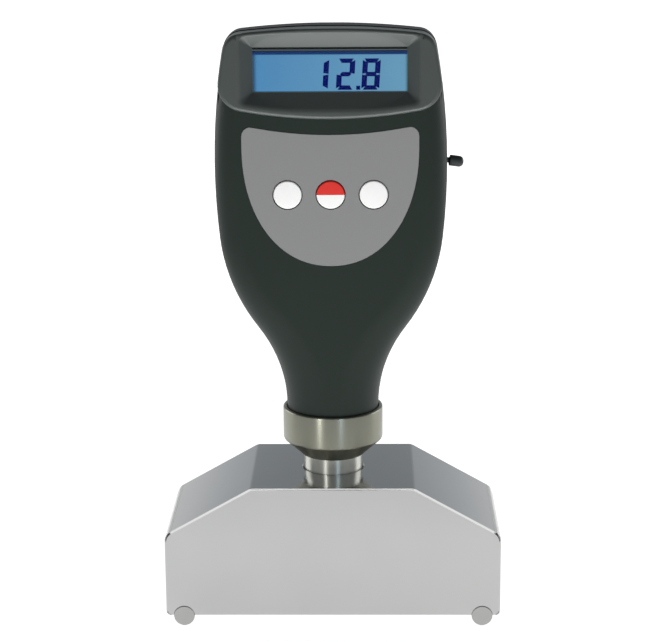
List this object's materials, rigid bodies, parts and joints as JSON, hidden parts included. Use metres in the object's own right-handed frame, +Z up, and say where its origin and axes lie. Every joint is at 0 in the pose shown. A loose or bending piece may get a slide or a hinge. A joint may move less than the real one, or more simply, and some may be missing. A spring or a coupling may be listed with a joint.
{
  "type": "mesh tension meter",
  "caption": "Handheld digital tension gauge with a display, round keys and a side lever, standing on a metal base block whose sprung bar measures how far a stretched mesh gives.",
  "frame": {"origin": "middle of the foot, on the surface that the two support rods stand on", "axes": "+Z up along the spindle, the display faces -Y, +X to the right as seen from the front"},
  "size_m": [0.095, 0.042, 0.1687],
  "materials": {
    "block": "ground, with a bright chamfer",
    "ground_steel": "ground",
    "turned_steel": "turned, satin",
    "dark_steel": "blackened",
    "spring_steel": "plated",
    "bronze": "sintered, satin",
    "copper": "enamelled wire",
    "ferrite": "matte",
    "housing": "fine grained satin",
    "bezel": "smooth satin",
    "black_plastic": "moulded",
    "white_plastic": "moulded",
    "window": "clear",
    "lcd": "backlit glass",
    "elastomer": "matte",
    "label": "printed film",
    "white_key": "smooth",
    "red_key": "red upper half, white lower half",
    "board": "green solder mask",
    "cell": "printed sleeve",
    "lead": "sheath"
  },
  "bodies": {
    "housing": {"base_block": "block", "support_rods": "ground_steel", "clamp_screw": "dark_steel", "probe_tube": "turned_steel", "collar": "turned_steel", "lower_bush": "bronze", "upper_bush": "bronze", "coil_bobbin": "white_plastic", "coil_winding": "copper", "sensor_lead": "lead", "lead_plug": "white_plastic", "front_shell": "housing", "rear_shell": "housing", "shell_screws": "dark_steel", "display_bezel": "bezel", "display_window": "window", "lcd_panel": "lcd", "backlight": "white_plastic", "lcd_connectors": "elastomer", "key_label": "label", "key_switches": "black_plastic", "main_board": "board", "board_chips": "black_plastic", "board_screws": "dark_steel", "toggle_switch": "black_plastic", "batteries": "cell", "contact_springs": "spring_steel", "contact_plates": "spring_steel", "spindle_spring": "spring_steel"},
    "plunger": {"spindle": "ground_steel", "sensor_core": "ferrite", "lock_nut": "turned_steel", "bar_carrier": "block", "contact_bar": "ground_steel"},
    "left_button": {"left_key": "white_key"},
    "power_button": {"power_key": "red_key"},
    "right_button": {"right_key": "white_key"},
    "lever": {"toggle_lever": "black_plastic"},
    "cover": {"battery_cover": "housing"}
  },
  "joints": [
    {"name": "plunger_slide", "type": "slide", "parent": "housing", "child": "plunger", "axis": [0, 0, 1], "range_m": [-0.0015, 0.0003], "stiffness_N_per_m": 250, "springref_m": -0.004, "deforming": ["spindle_spring"]},
    {"name": "left_key_press", "type": "slide", "parent": "housing", "child": "left_button", "axis": [0, 1, 0], "range_m": [0, 0.0004], "stiffness_N_per_m": 1500, "springref_m": -0.0003},
    {"name": "power_key_press", "type": "slide", "parent": "housing", "child": "power_button", "axis": [0, 1, 0], "range_m": [0, 0.0004], "stiffness_N_per_m": 1500, "springref_m": -0.0003},
    {"name": "right_key_press", "type": "slide", "parent": "housing", "child": "right_button", "axis": [0, 1, 0], "range_m": [0, 0.0004], "stiffness_N_per_m": 1500, "springref_m": -0.0003},
    {"name": "lever_tilt", "type": "hinge", "parent": "housing", "child": "lever", "pos_m": [0.02955, 0, 0.131], "axis": [0, -1, 0], "range_deg": [0, 16]},
    {"name": "cover_pull", "type": "slide", "parent": "housing", "child": "cover", "axis": [0, 1, 0], "range_m": [0, 0.015]}
  ]
}
